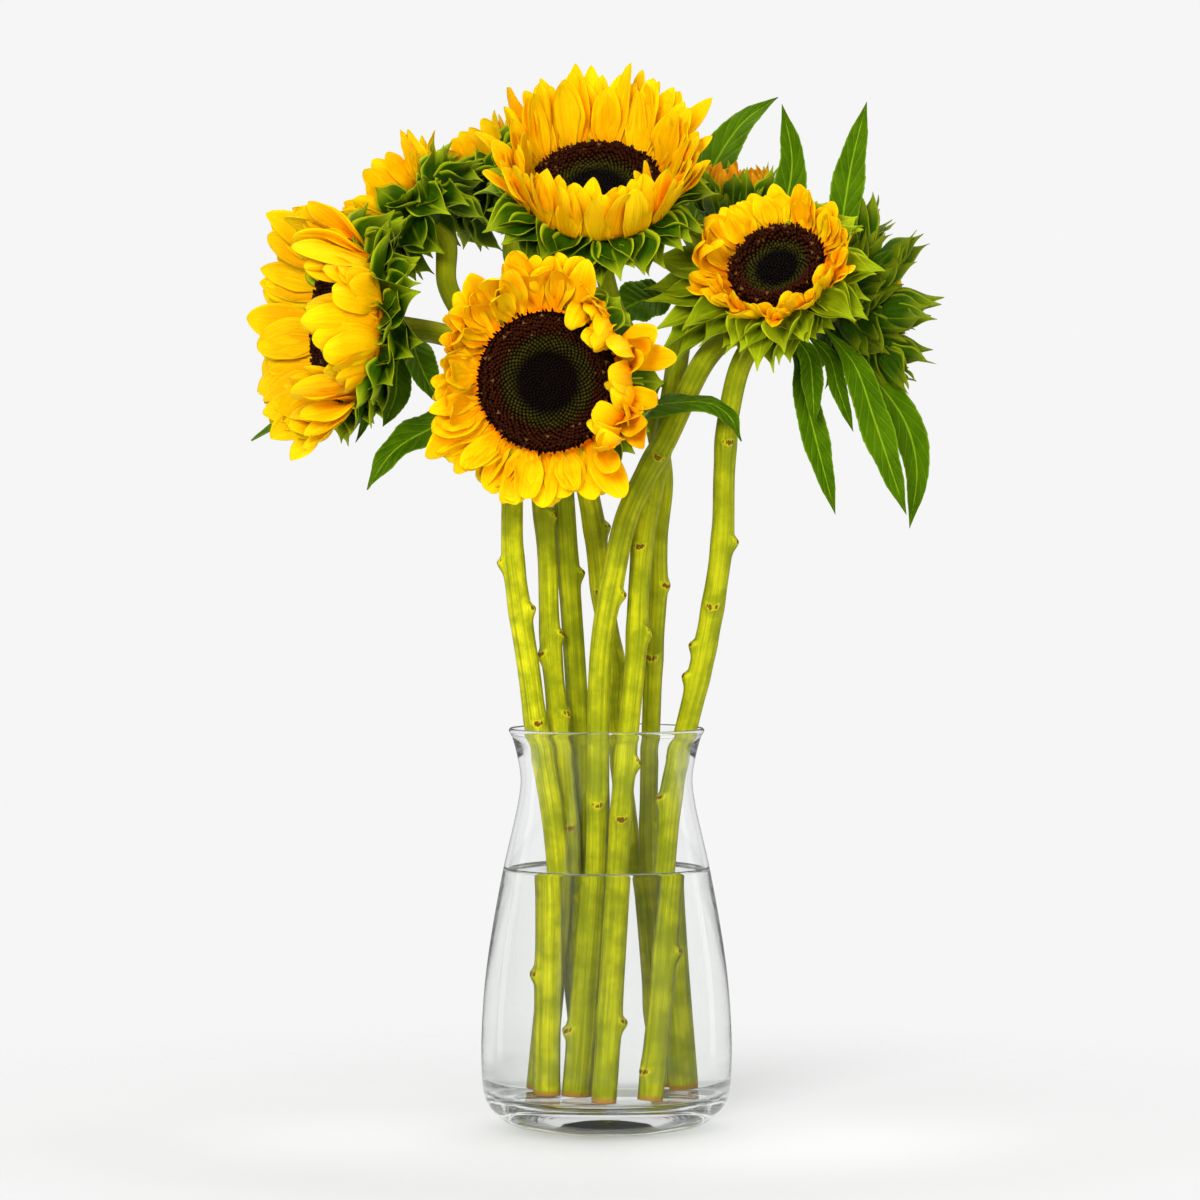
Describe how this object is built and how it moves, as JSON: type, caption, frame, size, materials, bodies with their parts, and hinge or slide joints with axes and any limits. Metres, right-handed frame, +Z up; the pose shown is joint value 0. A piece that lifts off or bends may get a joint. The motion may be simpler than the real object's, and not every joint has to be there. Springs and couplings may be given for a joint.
{
  "type": "sunflowers in a vase",
  "caption": "Cut sunflowers with green bracts and leaves standing in a clear glass vase of water.",
  "frame": {"origin": "centre of the flat underside of the vase", "axes": "+Z up along the axis of the vase; -Y towards the viewer of the picture, +X to the viewer's right"},
  "size_m": [0.4022, 0.2687, 0.6164],
  "materials": {
    "glass": "gloss",
    "water": "gloss",
    "stem": "satin",
    "bract": "satin",
    "leaf": "satin",
    "petal": "satin",
    "petal_dull": "satin",
    "disc": "matte"
  },
  "bodies": {
    "root": {"vase": "glass", "water": "water", "stem_1": "stem", "stem_2": "stem", "stem_3": "stem", "stem_4": "stem", "stem_5": "stem", "stem_6": "stem", "stem_7": "stem", "stem_8": "stem", "flower_1_calyx": "bract", "flower_1_petals": "petal", "flower_1_disc": "disc", "flower_2_calyx": "bract", "flower_2_petals": "petal", "flower_2_disc": "disc", "flower_3_calyx": "bract", "flower_3_petals": "petal", "flower_3_disc": "disc", "flower_4_calyx": "bract", "flower_4_petals": "petal", "flower_4_disc": "disc", "flower_5_calyx": "bract", "flower_5_petals": "petal", "flower_5_disc": "disc", "flower_6_calyx": "bract", "flower_6_petals": "petal", "flower_6_disc": "disc", "flower_7_calyx": "bract", "flower_7_petals": "petal_dull", "flower_7_disc": "disc", "flower_8_calyx": "bract", "flower_8_petals": "petal", "flower_8_disc": "disc", "leaf_01": "leaf", "leaf_02": "leaf", "leaf_03": "leaf", "leaf_04": "leaf", "leaf_05": "leaf", "leaf_06": "leaf", "leaf_07": "leaf", "leaf_08": "leaf", "leaf_09": "leaf", "leaf_10": "leaf", "leaf_11": "leaf", "leaf_12": "leaf", "leaf_13": "leaf", "leaf_14": "leaf", "leaf_15": "leaf"}
  },
  "joints": []
}
